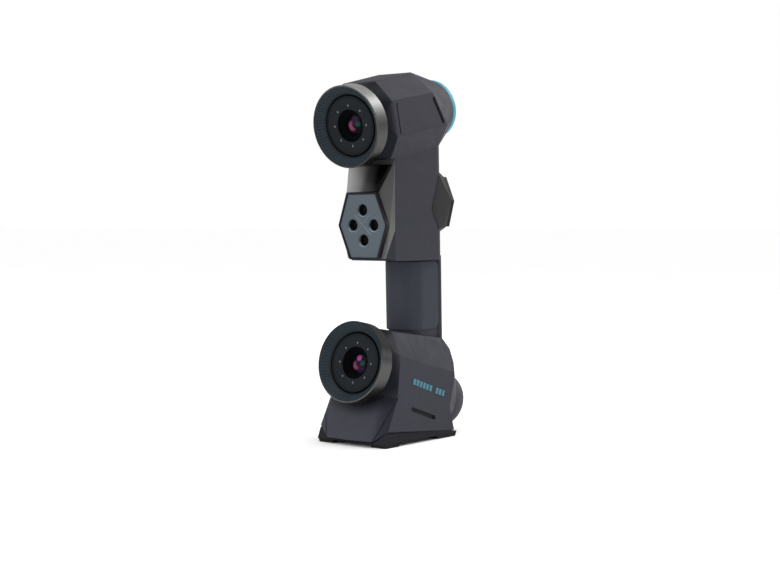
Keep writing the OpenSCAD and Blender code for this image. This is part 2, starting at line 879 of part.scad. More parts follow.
// A push button whose flange sits under the panel
module push_button(r) {
    rod(r, -1.4, panel_floor + button_proud);
    rod(r + key_flange, -1.4, -0.1);
    rod(1.4, button_foot, -1);
}

module scan_button() {
    color([0.2, 0.45, 0.55]) at_panel() translate([0, button_y, 0]) difference() {
        push_button(scan_r);
        translate([0, 0, panel_floor + button_proud + 24]) sphere(r = 24.4, $fn = 64);
    }
}

module key_at(x, y) {
    color([0.2, 0.2, 0.21]) at_panel() translate([x, button_y + y, 0]) push_button(key_r);
}

module up_button() { key_at(0, key_offset_y); }
module down_button() { key_at(0, -key_offset_y); }
module left_button() { key_at(key_offset_x, 0); }
module right_button() { key_at(-key_offset_x, 0); }

module status_light() {
    color(accent) at_panel() translate([0, light_y, 0])
        rod(light_r, board_z + board_t + 0.02, panel_floor + 0.3);
}

module button_board() {
    color(board) at_panel() {
        translate([0, 0, board_z]) linear_extrude(height = board_t) panel_hexagon(panel_lip + 0.6);
        translate([0, button_y, board_z]) rod(2, 0, switch_top);
        key_spots() translate([0, 0, board_z]) rod(1.6, 0, switch_top);
    }
}

module main_board() {
    color(board) {
        translate([-main_board_x, main_board_y, main_board_z[0]])
            cube([2 * main_board_x, board_t, main_board_z[1] - main_board_z[0]]);
        for (c = board_chips)
            translate([-c[0] / 2, main_board_y + board_t / 2, c[1]]) cube([c[0], board_t / 2 + c[3], c[2]]);
    }
}

// ---- side inserts ----

module upper_vents() {
    color(black) upper_vent_slot(-vent_recess - vent_t, -vent_recess, 0.05);
}

module lower_vents() {
    color(black) lower_vent_slot(-vent_recess - vent_t, -vent_recess, 0.05);
}

// Row of thin raised bars with one bar left out
module accent_strips() {
    color(accent) difference() {
        pair() translate(accent_c) rotate([lower_vent_tilt, 0, accent_yaw])
            for (i = [0:bar_count - 1]) if (i != bar_skip)
                translate([-wall, (i - bar_count / 2) * bar_pitch, -accent_w / 2])
                    cube([wall, bar_w, accent_w]);
        base_volume(-0.02);
    }
}

placed() shell_right();
placed() shell_left();
placed() shell_screws();
placed() grip_cover();
placed() base_plate();
placed() base_screws();
placed() rubber_feet();
placed() backbone();
placed() camera_screws();
placed() top_ring_housing();
placed() top_reflector();
placed() top_led_disc();
placed() top_leds();
placed() top_lens_barrel();
placed() top_lens_glass();
placed() top_camera();
placed() top_sensor_board();
placed() bottom_ring_housing();
placed() bottom_reflector();
placed() bottom_led_disc();
placed() bottom_leds();
placed() bottom_lens_barrel();
placed() bottom_lens_glass();
placed() bottom_camera();
placed() bottom_sensor_board();
placed() accent_ring();
placed() top_rear_cap();
placed() bottom_rear_cap();
placed() cable_socket();
placed() laser_housing();
placed() laser_frame();
placed() laser_plate();
placed() laser_windows();
placed() laser_modules();
placed() laser_bracket();
placed() laser_hood();
placed() button_housing();
placed() button_panel();
placed() scan_button();
placed() up_button();
placed() down_button();
placed() left_button();
placed() right_button();
placed() status_light();
placed() button_board();
placed() main_board();
placed() upper_vents();
placed() lower_vents();
placed() accent_strips();
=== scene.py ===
"""Looks of the handheld scanner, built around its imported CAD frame."""
import json
from math import cos, pi, radians, sin, sqrt, tau

import bmesh
import bpy
from mathutils import Matrix, Vector


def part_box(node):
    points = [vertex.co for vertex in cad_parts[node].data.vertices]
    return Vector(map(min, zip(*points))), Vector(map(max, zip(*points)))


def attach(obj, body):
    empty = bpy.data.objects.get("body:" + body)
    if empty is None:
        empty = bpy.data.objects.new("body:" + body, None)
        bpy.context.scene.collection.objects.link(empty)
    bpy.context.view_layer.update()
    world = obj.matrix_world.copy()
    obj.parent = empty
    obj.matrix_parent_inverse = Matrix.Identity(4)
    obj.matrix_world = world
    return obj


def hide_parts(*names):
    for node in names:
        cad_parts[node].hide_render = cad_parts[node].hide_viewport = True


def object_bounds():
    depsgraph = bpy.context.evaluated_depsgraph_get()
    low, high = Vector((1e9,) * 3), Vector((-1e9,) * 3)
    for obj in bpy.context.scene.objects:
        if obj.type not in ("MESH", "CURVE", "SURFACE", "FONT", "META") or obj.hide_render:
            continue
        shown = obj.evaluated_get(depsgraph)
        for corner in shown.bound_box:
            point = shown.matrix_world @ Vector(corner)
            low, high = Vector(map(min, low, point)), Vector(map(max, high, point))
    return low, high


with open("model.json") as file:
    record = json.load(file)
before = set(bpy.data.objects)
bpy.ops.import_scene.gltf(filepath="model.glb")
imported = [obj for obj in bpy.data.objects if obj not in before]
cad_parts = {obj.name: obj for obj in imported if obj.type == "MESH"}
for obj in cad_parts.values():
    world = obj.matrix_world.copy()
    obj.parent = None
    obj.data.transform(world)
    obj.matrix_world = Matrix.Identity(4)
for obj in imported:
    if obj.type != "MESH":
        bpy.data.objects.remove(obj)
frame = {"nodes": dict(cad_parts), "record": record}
cad_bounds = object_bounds()
nodes = frame["nodes"]

BODY = "scanner"
MM = 0.001
SCENE = bpy.context.scene
UP = (0, 0, 1)
RIGHT = (1, 0, 0)
FRONT = (0, -1, 0)


# ---- materials ----

class Surface:
    """A Principled material whose noise layers are read in object space."""

    def __init__(self, name, rough, metallic=0.0, specular=0.5):
        self.material = bpy.data.materials.new(name)
        self.material.use_nodes = True
        self.tree = self.material.node_tree
        self.shader = self.tree.nodes["Principled BSDF"]
        self.set("Roughness", rough)
        self.set("Metallic", metallic)
        self.set("Specular IOR Level", specular)
        self.coordinates = self.new("ShaderNodeTexCoord")
        self.place = self.coordinates.outputs["Object"]
        self.normal = None

    def new(self, kind):
        return self.tree.nodes.new(kind)

    def link(self, out, into):
        self.tree.links.new(out, into)

    def set(self, socket, value):
        self.shader.inputs[socket].default_value = value

    def noise(self, scale, detail=3.0, stretch=(1, 1, 1), roughness=0.55):
        """A noise value, scale in cells to the metre."""
        mapping = self.new("ShaderNodeMapping")
        mapping.inputs["Scale"].default_value = stretch
        self.link(self.place, mapping.inputs["Vector"])
        node = self.new("ShaderNodeTexNoise")
        node.inputs["Scale"].default_value = scale
        node.inputs["Detail"].default_value = detail
        node.inputs["Roughness"].default_value = roughness
        self.link(mapping.outputs["Vector"], node.inputs["Vector"])
        return node.outputs["Fac"]

    def cells(self, scale):
        node = self.new("ShaderNodeTexVoronoi")
        node.inputs["Scale"].default_value = scale
        self.link(self.place, node.inputs["Vector"])
        return node.outputs["Distance"]

    def spread(self, value, low, high, start=0.3, end=0.7):
        """Maps a noise value's middle range to low .. high."""
        node = self.new("ShaderNodeMapRange")
        for key, number in (("From Min", start), ("From Max", end), ("To Min", low), ("To Max", high)):
            node.inputs[key].default_value = number
        self.link(value, node.inputs["Value"])
        return node.outputs["Result"]

    def blend(self, factor, dark, light):
        """The colour between dark and light at factor."""
        node = self.new("ShaderNodeMix")
        node.data_type = "RGBA"
        node.inputs["A"].default_value = (*dark, 1)
        node.inputs["B"].default_value = (*light, 1)
        self.link(factor, node.inputs["Factor"])
        return node.outputs["Result"]

    def math(self, operation, a, b):
        node = self.new("ShaderNodeMath")
        node.operation = operation
        for socket, value in zip(node.inputs, (a, b)):
            if isinstance(value, (int, float)):
                socket.default_value = value
            else:
                self.link(value, socket)
        return node.outputs["Value"]

    def product(self, *masks):
        """Several masks multiplied together."""
        out = masks[0]
        for mask in masks[1:]:
            out = self.math("MULTIPLY", out, mask)
        return out

    def distance(self, point):
        """How far each place is from a point, in metres."""
        node = self.new("ShaderNodeVectorMath")
        node.operation = "DISTANCE"
        node.inputs[1].default_value = point
        self.link(self.place, node.inputs[0])
        return node.outputs["Value"]

    def along(self, point, axis, source=None):
        """How far each place lies past a point, along an axis."""
        offset = self.new("ShaderNodeVectorMath")
        offset.operation = "SUBTRACT"
        offset.inputs[1].default_value = point
        self.link(source or self.place, offset.inputs[0])
        dot = self.new("ShaderNodeVectorMath")
        dot.operation = "DOT_PRODUCT"
        dot.inputs[1].default_value = axis
        self.link(offset.outputs["Vector"], dot.inputs[0])
        return dot.outputs["Value"]

    def height(self):
        """Height above the floor, in metres."""
        return self.along((0, 0, 0), UP)

    def across(self):
        """How far each place lies to the scanner's +X side, in metres."""
        return self.along((0, 0, 0), RIGHT)

    def facing(self, axis):
        """How far each face looks along an axis, from -1 to 1."""
        return self.along((0, 0, 0), axis, self.coordinates.outputs["Normal"])

    def average(self, a, b, share):
        node = self.new("ShaderNodeMix")
        node.data_type = "FLOAT"
        node.inputs["Factor"].default_value = share
        self.link(a, node.inputs["A"])
        self.link(b, node.inputs["B"])
        return node.outputs["Result"]

    def bump(self, height, strength, depth):
        """Adds a bump, depth in metres, on top of the bumps before it."""
        node = self.new("ShaderNodeBump")
        node.inputs["Strength"].default_value = strength
        node.inputs["Distance"].default_value = depth
        self.link(height, node.inputs["Height"])
        if self.normal:
            self.link(self.normal, node.inputs["Normal"])
        self.normal = node.outputs["Normal"]
        self.link(self.normal, self.shader.inputs["Normal"])

    def tinted(self, out, mask, colour):
        """out, with colour in its place where the mask is 1."""
        node = self.new("ShaderNodeMix")
        node.data_type = "RGBA"
        self.link(mask, node.inputs["Factor"])
        self.link(out, node.inputs["A"])
        node.inputs["B"].default_value = (*colour, 1)
        return node.outputs["Result"]

    def shaded(self, out, colour, shade):
        """out, lighter or darker where shade says.

        shade is a function of the Surface that gives pairs of a mask and the share of the colour there.
        """
        for mask, share in shade(self) if shade else ():
            out = self.tinted(out, mask, scaled(colour, share))
        return out

    def colour(self, out):
        self.link(out, self.shader.inputs["Base Color"])

    def roughness(self, out):
        self.link(out, self.shader.inputs["Roughness"])


def scaled(colour, share):
    """colour times share, which is one number or one for each channel."""
    shares = share if isinstance(share, tuple) else (share,) * 3
    return tuple(min(c * k, 1.0) for c, k in zip(colour, shares))


MOTTLE = 0.05
COAT_ROUGHNESS = 0.12


def moulded(name, colour, rough, grain=2600, depth=0.00004, specular=0.3, coat=0.0, shade=None):
    """Moulded plastic: slow changes of tone, fine texture and uneven gloss."""
    s = Surface(name, rough, specular=specular)
    tone = s.average(s.noise(38, 4), s.noise(900, 2), 0.35)
    tint = s.blend(s.spread(tone, 0, 1), scaled(colour, 1 - MOTTLE), scaled(colour, 1 + MOTTLE))
    s.colour(s.shaded(tint, colour, shade))
    s.roughness(s.spread(s.noise(120, 5), rough - 0.05, rough + 0.05))
    s.bump(s.noise(grain, 2, roughness=0.7), 0.35, depth)
    s.bump(s.noise(85, 2), 0.12, 0.00012)
    if coat:
        s.set("Coat Weight", coat)
        s.set("Coat Roughness", COAT_ROUGHNESS)
    return s


DULL_ROUGHNESS = 0.85


def turned(name, colour, rough, lines=5200, metallic=1.0, along="Z", specular=0.5, shade=None, dull=None):
    """Anodised or turned metal with fine tool lines.

    dull is a function of the Surface that gives a mask of rougher metal.
    """
    s = Surface(name, rough, metallic=metallic, specular=specular)
    stretch = (0.02, 1, 0.02) if along == "Y" else (0.02, 0.02, 1)
    line = s.noise(lines, 2, stretch)
    tone = s.average(line, s.noise(60, 4), 0.5)
    s.colour(s.shaded(s.blend(s.spread(tone, 0, 1), scaled(colour, 0.9), scaled(colour, 1.1)), colour, shade))
    gloss = s.spread(s.average(line, s.noise(300, 4), 0.6), rough - 0.07, rough + 0.07)
    if dull:
        gloss = s.math("MAXIMUM", gloss, s.spread(dull(s), 0, DULL_ROUGHNESS, 0, 1))
    s.roughness(gloss)
    s.bump(line, 0.18, 0.00003)
    return s


def board_material(name, mask, copper):
    """Solder mask over copper tracks."""
    s = Surface(name, 0.35, specular=0.5)
    cells = s.cells(420)
    s.colour(s.blend(s.spread(cells, 0, 1, 0.42, 0.46), copper, mask))
    s.roughness(s.spread(s.noise(500, 3), 0.28, 0.42))
    s.bump(cells, 0.3, 0.00005)
    return s


def lens_coating(name, painted_reflection_list=()):
    """Coated optical glass: a black body with painted reflections, soft tinted spots in its colour.

    Each painted reflection is a colour, a centre and a radius, with the centre and radius of the part that is
    cut from it.
    """
    s = Surface(name, 0.08, specular=0.02)
    tint = s.blend(s.spread(s.noise(90, 2), 0, 1), (0.002, 0.002, 0.003), (0.005, 0.004, 0.006))
    for colour, centre, radius, cut_centre, cut_radius in painted_reflection_list:
        inside = s.spread(s.distance(centre), 1, 0, 0.55 * radius, 1.15 * radius)
        outside = s.spread(s.distance(cut_centre), 0, 1, 0.7 * cut_radius, 1.15 * cut_radius)
        tint = s.tinted(tint, s.product(inside, outside), colour)
    s.colour(tint)
    s.bump(s.noise(200, 1), 0.02, 0.00002)
    return s


# ---- frames of the heads ----

def frame_at(origin, tilt):
    """Millimetre frame at origin (metres) whose +Z looks out of the front, tipped up by tilt degrees."""
    return Matrix.Translation(origin) @ Matrix.Rotation(radians(90 - tilt), 4, "X") @ Matrix.Scale(MM, 4)


TOP_TILT, BOTTOM_TILT, LASER_TILT = -11.0, 10.8, -3.7
RING_MIDDLE = 6.75


def head_frame(node, tilt):
    """Frame on a ring light's axis, RING_MIDDLE behind the middle of its housing."""
    low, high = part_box(node)
    place = frame_at((low + high) / 2, tilt)
    return frame_at(place @ Vector((0, 0, -RING_MIDDLE)), tilt)


def out_of(place):
    """The direction in which a head looks."""
    return (place.to_3x3() @ Vector(UP)).normalized()


def up_of(place):
    """The upward direction in the plane of a head's ring light."""
    return out_of(place).cross(Vector(RIGHT))


HEADS = {"top": head_frame("top_ring_housing", TOP_TILT),
         "bottom": head_frame("bottom_ring_housing", BOTTOM_TILT)}

LASER_SHIFT = (0, 0.75, 2.0)
low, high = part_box("laser_frame")
LASER = frame_at((low + high) / 2, LASER_TILT) @ Matrix.Translation(LASER_SHIFT)


# ---- painted shade and light ----

# Painted shade and painted light: darker and lighter zones, each keyed to position in metres or to
# facing from -1 to 1. They were set to follow the tones in the photo, and aren't known properties of the
# object.
HEAD_SPLIT = (0.19, 0.2)
# Place and reach of the casing's painted shade round each ring light.
COLLAR_SHADE_RISE = {"top": 0, "bottom": 16}
COLLAR_SHADE_REACH = {"top": (0.038, 0.052), "bottom": (0.047, 0.061)}
# Shares of the casing colour: painted shade, and painted light on the skirt.
COLLAR_PAINTED_SHADE, SHOULDER_PAINTED_SHADE, FLANK_PAINTED_SHADE = (0.02, 0.04, 0.12), (0.5, 0.52, 0.62), (0.4, 0.42, 0.5)
SIDE_PAINTED_SHADE, SKIRT_PAINTED_LIGHT = 0.8, 1.2


def painted_casing_shade_and_light(s):
    """Painted shade on the casing: darker round the ring lights, on the base's shoulders and flank and high
    on the side.

    Painted light on the skirt: it is lighter on its front face.
    """
    masks = []
    for head, place in HEADS.items():
        axis = out_of(place)
        near, far = COLLAR_SHADE_REACH[head]
        sloped = s.spread(s.facing(axis), 0, 1, 0.04, 0.12)
        ahead = s.spread(s.along(place.translation, axis), 0, 1, -0.016, -0.012)
        close = s.spread(s.distance(place @ Vector((0, COLLAR_SHADE_RISE[head], -4))), 1, 0, near, far)
        masks.append(s.product(sloped, ahead, close))
    height, across = s.height(), s.across()
    shoulder = s.product(s.spread(s.facing(UP), 0, 1, 0.08, 0.4),
                         s.spread(height, 0, 1, 0.055, 0.065), s.spread(height, 1, 0, 0.100, 0.120))
    side = s.product(s.spread(s.facing(RIGHT), 0, 1, 0.4, 0.85), s.spread(height, 0, 1, 0.12, 0.18))
    skirt = s.product(s.spread(s.facing(FRONT), 0, 1, 0.78, 0.9), s.spread(height, 1, 0, 0.03, 0.05),
                      s.spread(across, 1, 0, 0.010, 0.026))
    flank = s.product(s.spread(across, 0, 1, 0.022, 0.030), s.spread(height, 1, 0, 0.055, 0.065),
                      s.spread(s.facing(UP), 0, 1, 0.06, 0.3))
    return [(shoulder, SHOULDER_PAINTED_SHADE), (side, SIDE_PAINTED_SHADE), (skirt, SKIRT_PAINTED_LIGHT), (flank, FLANK_PAINTED_SHADE),
            (s.math("MAXIMUM", *masks), COLLAR_PAINTED_SHADE)]


def painted_hood_reflection(s):
    """A painted reflection on the gloss hood, in its colour: light grey at the left, going to black at the
    right.
    """
    across = s.across()
    return [(s.spread(across, 0, 1, -0.017, 0.003), 0.15), (s.spread(across, 0, 1, -0.003, 0.013), 0.002)]


def painted_lit_edges(s):
    """Painted light: the laser plate's bevels are lighter where they face up."""
    return [(s.spread(s.facing(UP), 0, 1, 0.12, 0.5), 2.8)]


def chin_painted_light(s):
    """Painted light: the laser housing is lighter towards its chin."""
    return [(s.spread(s.height(), 1, 0, 0.165, 0.2), 1.8)]


def painted_ring_shade(near, far, share):
    """Painted shade: a darker band that runs round each ring light between two radii, in metres, in and
    beside the groove round its disc.
    """
    def shade(s):
        spots = [s.distance(place @ Vector((0, 0, DISC_FRONT))) for place in HEADS.values()]
        return [(s.spread(s.math("MINIMUM", *spots), 0, 1, near, far), share)]
    return shade


def shaded_rim(s):
    """A mask of the upper half of the lower ring light's rim, where shade is painted and the metal is made
    duller.
    """
    place = HEADS["bottom"]
    above = s.spread(s.along(place.translation, up_of(place)), 0, 1, -0.002, 0.014)
    return s.product(above, s.spread(s.height(), 1, 0, *HEAD_SPLIT))


def painted_rim_light_and_shade(s):
    """Painted light and shade on the rims: lighter on top of the upper ring light and darker below it, darker
    on top of the lower one, and painted shade inside.
    """
    is_top = s.spread(s.height(), 0, 1, *HEAD_SPLIT)
    place = HEADS["top"]
    rise = s.along(place.translation, up_of(place))
    lip = s.spread(s.facing(out_of(place)), 1, 0, 0.3, 0.6)
    upper = s.product(s.spread(rise, 0, 1, 0.006, 0.032), lip, is_top)
    lower = s.product(s.spread(rise, 1, 0, -0.020, 0.004), is_top)
    return [(upper, 4.2), (lower, 0.55), (shaded_rim(s), 0.5)] + painted_ring_shade(0.031, 0.029, 0.06)(s)


def painted_reflection(head, colour, centre, radius, cut_centre, cut_radius):
    """One of lens_coating's painted reflections, from millimetres on a head's front lens.

    FAR as the cut's centre cuts nothing.
    """
    spot, cut = [HEADS[head] @ Vector((*at, GLASS_FRONT - PAINTED_REFLECTION_DEPTH)) for at in (centre, cut_centre)]
    return colour, spot, radius * MM, cut, cut_radius * MM


# ---- the materials, one for each of the record's slots and a few more ----

GLASS_R, GLASS_FRONT, PAINTED_REFLECTION_DEPTH = 8.5, 1.6, 0.6
RING_R, RING_DEPTH, DISC_R, DISC_FRONT = 33.96, 13.77, 24.5, 7.0
# Colours of the painted reflections on the lenses.
PAINTED_PINK, PAINTED_GREEN, PAINTED_MAGENTA = (0.17, 0.045, 0.09), (0.008, 0.042, 0.034), (0.24, 0.05, 0.19)
PAINTED_PURPLE = (0.022, 0.008, 0.026)
FAR = (60, 60)

MATERIALS = {
    # The casing's colour carries painted shade round the ring lights and on the base, and painted light on
    # the skirt's front.
    "casing": moulded("casing", (0.031, 0.031, 0.042), 0.6, depth=0.00005, specular=0.14, shade=painted_casing_shade_and_light),
    "soft_grip": moulded("soft_grip", (0.031, 0.035, 0.045), 0.65, grain=3800, depth=0.00003, specular=0.14),
    "dark_plastic": moulded("dark_plastic", (0.008, 0.008, 0.011), 0.5, specular=0.1),
    "rubber": moulded("rubber", (0.010, 0.010, 0.012), 0.75, grain=1800, depth=0.00008, specular=0.12),
    "aluminium": turned("aluminium", (0.55, 0.56, 0.58), 0.35),
    "steel": turned("steel", (0.16, 0.16, 0.17), 0.32, lines=3000),
    # The ring rims carry painted light and painted shade in their colour.
    "ring_metal": turned("ring_metal", (0.078, 0.078, 0.077), 0.36, lines=3600, along="Y", shade=painted_rim_light_and_shade,
                         dull=shaded_rim),
    # Slate plastic near each ring light's middle carries painted shade: the reflector's inner edge and what
    # lies inside it.
    "slate_plastic": moulded("slate_plastic", (0.019, 0.028, 0.035), 0.5, depth=0.00003, specular=0.12,
                             shade=painted_ring_shade(0.0285, 0.0258, 0.35)),
    "led_lens": moulded("led_lens", (0.085, 0.088, 0.09), 0.3, grain=900, specular=0.3),
    "black_metal": turned("black_metal", (0.0018, 0.002, 0.0024), 0.7, lines=4200, metallic=0.0, along="Y",
                          specular=0.02),
    "lens_glass": lens_coating("lens_glass"),
    "circuit_board": board_material("circuit_board", (0.01, 0.09, 0.05), (0.02, 0.16, 0.08)),
    "accent": moulded("accent", (0.05, 0.28, 0.38), 0.45, grain=1500, specular=0.2),
    # The laser housing carries painted light towards its chin.
    "grey_plastic": moulded("grey_plastic", (0.060, 0.060, 0.060), 0.55, depth=0.00004, specular=0.12,
                            shade=chin_painted_light),
    # The plate's up-facing bevels carry painted light.
    "blue_grey_plate": moulded("blue_grey_plate", (0.062, 0.080, 0.092), 0.5, grain=3200, depth=0.00003,
                               specular=0.15, shade=painted_lit_edges),
    "window_glass": lens_coating("window_glass"),
    "brass": turned("brass", (0.55, 0.42, 0.2), 0.3, along="Y"),
    # The hood's colour carries a painted reflection, from light grey at the left to near black at the right.
    "gloss_black": moulded("gloss_black", (0.30, 0.30, 0.30), 0.3, grain=700, depth=0.00001, specular=0.08,
                           shade=painted_hood_reflection),
    "button_blue": moulded("button_blue", (0.05, 0.2, 0.28), 0.32, grain=1500, coat=0.3),
    "button_rubber": moulded("button_rubber", (0.03, 0.03, 0.032), 0.6, grain=2400),
}
# Painted reflections on the front lenses: tinted spots in the glass's colour.
MATERIALS["top_lens"] = lens_coating("top_lens", [
    painted_reflection("top", PAINTED_PURPLE, (1.0, 3.2), 4.5, FAR, 1),
    painted_reflection("top", PAINTED_PINK, (-2.6, -0.8), 4.4, (1.6, 0.9), 4.6),
    painted_reflection("top", PAINTED_GREEN, (3.6, 0.6), 2.6, FAR, 1)])
MATERIALS["bottom_lens"] = lens_coating("bottom_lens", [
    painted_reflection("bottom", PAINTED_PURPLE, (2.0, -3.5), 4.5, FAR, 1),
    painted_reflection("bottom", PAINTED_MAGENTA, (-0.6, 4.4), 2.8, FAR, 1),
    painted_reflection("bottom", PAINTED_PINK, (-3.0, -1.6), 3.8, (0.8, 0.4), 4.2),
    painted_reflection("bottom", PAINTED_GREEN, (3.6, 0.4), 2.6, FAR, 1)])
# The discs carry painted shade at their outer edge, by the groove.
MATERIALS["disc_face"] = moulded("disc_face", (0.0078, 0.0105, 0.013), 0.5, depth=0.00003, specular=0.06,
                                 shade=painted_ring_shade(0.0215, 0.0245, 0.35))
MATERIALS["mark"] = moulded("mark", (0.060, 0.175, 0.22), 0.5, grain=1500, specular=0.15)
MATERIALS["bulge"] = moulded("bulge", (0.017, 0.017, 0.017), 0.55, depth=0.00004, specular=0.08)
MATERIALS["rim"] = moulded("rim", (0.007, 0.007, 0.008), 0.5, depth=0.00004, specular=0.08)
MATERIALS["key_mark"] = moulded("key_mark", (0.42, 0.45, 0.47), 0.5, grain=1500, specular=0.2)
MATERIALS["cap"] = moulded("cap", (0.040, 0.040, 0.049), 0.6, depth=0.00005, specular=0.14)

for part in frame["record"]["subparts"]:
    nodes[part["node"]].data.materials.clear()
    nodes[part["node"]].data.materials.append(MATERIALS[part["material_slot"]].material)


# ---- mesh tools ----

def piece(name, verts, faces, place, slot, replaced=(), material=None, smooth=True, body=BODY):
    """A finished mesh object that rides on one of the scanner's bodies."""
    mesh = bpy.data.meshes.new(name)
    mesh.from_pydata([place @ Vector(v) for v in verts], [], faces)
    bm = bmesh.new()
    bm.from_mesh(mesh)
    bmesh.ops.remove_doubles(bm, verts=bm.verts, dist=2e-7)
    bmesh.ops.recalc_face_normals(bm, faces=bm.faces)
    bm.to_mesh(mesh)
    bm.free()
    for polygon in mesh.polygons:
        polygon.use_smooth = smooth
    mesh.materials.append(MATERIALS[material or slot].material)
    obj = bpy.data.objects.new(name, mesh)
    SCENE.collection.objects.link(obj)
    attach(obj, body)
    if replaced:
        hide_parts(*replaced)
    return obj


def filleted(points, radius, steps=4):
    """A closed profile of (r, z) points with its corners rounded; points on the axis stay sharp."""
    out = []
    for i, p in enumerate(points):
        if p[0] < 1e-6:
            out.append(p)
            continue
        p = Vector(p)
        a, b = Vector(points[i - 1]) - p, Vector(points[(i + 1) % len(points)]) - p
        cut = min(radius, 0.45 * a.length, 0.45 * b.length)
        start, end = p + a.normalized() * cut, p + b.normalized() * cut
        for k in range(steps + 1):
            t = k / steps
            out.append(tuple(start * (1 - t) ** 2 + p * 2 * t * (1 - t) + end * t * t))
    return out


def revolved(profile, steps):
    """Vertices and faces of a closed profile turned about Z."""
    verts, faces, rows = [], [], []
    for r, z in profile:
        if r < 1e-6:
            rows.append([len(verts)] * steps)
            verts.append((0, 0, z))
        else:
            rows.append(list(range(len(verts), len(verts) + steps)))
            verts += [(r * cos(tau * k / steps), r * sin(tau * k / steps), z) for k in range(steps)]
    for i, row in enumerate(rows):
        after = rows[(i + 1) % len(rows)]
        for k in range(steps):
            n = (k + 1) % steps
            loop = []
            for v in (row[k], row[n], after[n], after[k]):
                if v not in loop:
                    loop.append(v)
            if len(loop) > 2:
                faces.append(loop)
    return verts, faces


def islands(name):
    """The lowest and highest corners of each separate solid in a CAD node."""
    bm = bmesh.new()
    bm.from_mesh(nodes[name].data)
    bmesh.ops.remove_doubles(bm, verts=bm.verts, dist=2e-6)
    left, boxes = set(bm.verts), []
    while left:
        start = min(left, key=lambda v: v.index)
        group, edge = {start}, [start]
        while edge:
            for link in edge.pop().link_edges:
                for v in link.verts:
                    if v not in group:
                        group.add(v)
                        edge.append(v)
        left -= group
        boxes.append(tuple(Vector(pick(v.co[i] for v in group) for i in range(3)) for pick in (min, max)))
    bm.free()
    return sorted(boxes, key=lambda box: tuple(round(c, 5) for c in box[0]))


def end_of(name, axis):
    """Middle of a CAD node's face that lies farthest along an axis."""
    spots = [v.co for v in nodes[name].data.vertices]
    far = max(spot.dot(axis) for spot in spots)
    face = [spot for spot in spots if spot.dot(axis) > far - 0.05 * MM]
    low, high = [Vector(pick(spot[i] for spot in face) for i in range(3)) for pick in (min, max)]
    return (low + high) / 2


def weighted(obj):
    obj.modifiers.new("normals", "WEIGHTED_NORMAL")
    return obj


def lathe(name, profile, place, slot, replaced=(), radius=0.25, steps=128, **kw):
    verts, faces = revolved(filleted(profile, radius), steps)
    return weighted(piece(name, verts, faces, place, slot, replaced, **kw))


def bevelled(obj, width, angle):
    """Adds a bevel, width in millimetres, on the edges sharper than angle degrees."""
    edge = obj.modifiers.new("edge", "BEVEL")
    edge.width = width * MM
    edge.segments = 2
    edge.limit_method = "ANGLE"
    edge.angle_limit = radians(angle)
    return edge


def soften(name, width, angle=24, material=None):
    """Rounds the edges of a CAD node, with its mesh left as it is."""
    obj = nodes[name]
    if material:
        obj.material_slots[0].material = MATERIALS[material].material
    weld = obj.modifiers.new("weld", "WELD")
    weld.merge_threshold = 3e-6
    flat = obj.modifiers.new("flat", "DECIMATE")
    flat.decimate_type = "DISSOLVE"
    flat.angle_limit = radians(0.6)
    bevelled(obj, width, angle).miter_outer = "MITER_ARC"
    weighted(obj)


# ---- ring lights and lenses ----

RIBS = 72
GROOVE = 1.2


def ribbed_reflector(head, place):
    """Sloped ring with radial grooves in its outer half."""
    inner, outer = (DISC_R + GROOVE, DISC_FRONT - 0.3), (RING_R - 1.32, RING_DEPTH - 0.6)
    slope = (outer[1] - inner[1]) / (outer[0] - inner[0])
    groove_in, groove_out, depth = 28.1, 31.9, 0.7
    # share of one rib's pitch, and how deep the groove is there
    section = [(0.0, 0.0), (0.30, 0.0), (0.44, 1.0), (0.62, 1.0), (0.76, 0.0)]
    radii = [(inner[0], 0), (inner[0] + 0.3, 0), (groove_in - 0.1, 0), (groove_in + 0.25, 1),
             (groove_out - 0.25, 1), (groove_out + 0.1, 0), (outer[0] - 0.2, 0), (outer[0], 0)]
    rows = []
    verts, faces = [], []
    turns = [((i + share) / RIBS * tau, cut) for i in range(RIBS) for share, cut in section]
    for r, on in radii:
        z = inner[1] + (r - inner[0]) * slope
        rows.append(range(len(verts), len(verts) + len(turns)))
        verts += [(r * cos(a), r * sin(a), z - depth * cut * on) for a, cut in turns]
    for r in (outer[0], inner[0]):
        rows.append(range(len(verts), len(verts) + len(turns)))
        verts += [(r * cos(a), r * sin(a), 2.2) for a, cut in turns]
    for i, row in enumerate(rows):
        after = rows[(i + 1) % len(rows)]
        for k in range(len(turns)):
            n = (k + 1) % len(turns)
            faces.append((row[k], row[n], after[n], after[k]))
    obj = piece(head + "_ribbed_reflector", verts, faces, place, "slate_plastic", [head + "_reflector"],
                smooth=False)
    bevelled(obj, 0.06, 20)
    weighted(obj)


def merged_copies(verts, faces, places):
    """One list of vertices and faces from several placed copies."""
    all_verts, all_faces = [], []
    for m in places:
        base = len(all_verts)
        all_verts += [tuple(m @ Vector(v)) for v in verts]
        all_faces += [tuple(base + i for i in f) for f in faces]
    return all_verts, all_faces


LED_CIRCLE, LED_R, LEDS = 16.55, 1.3, 8


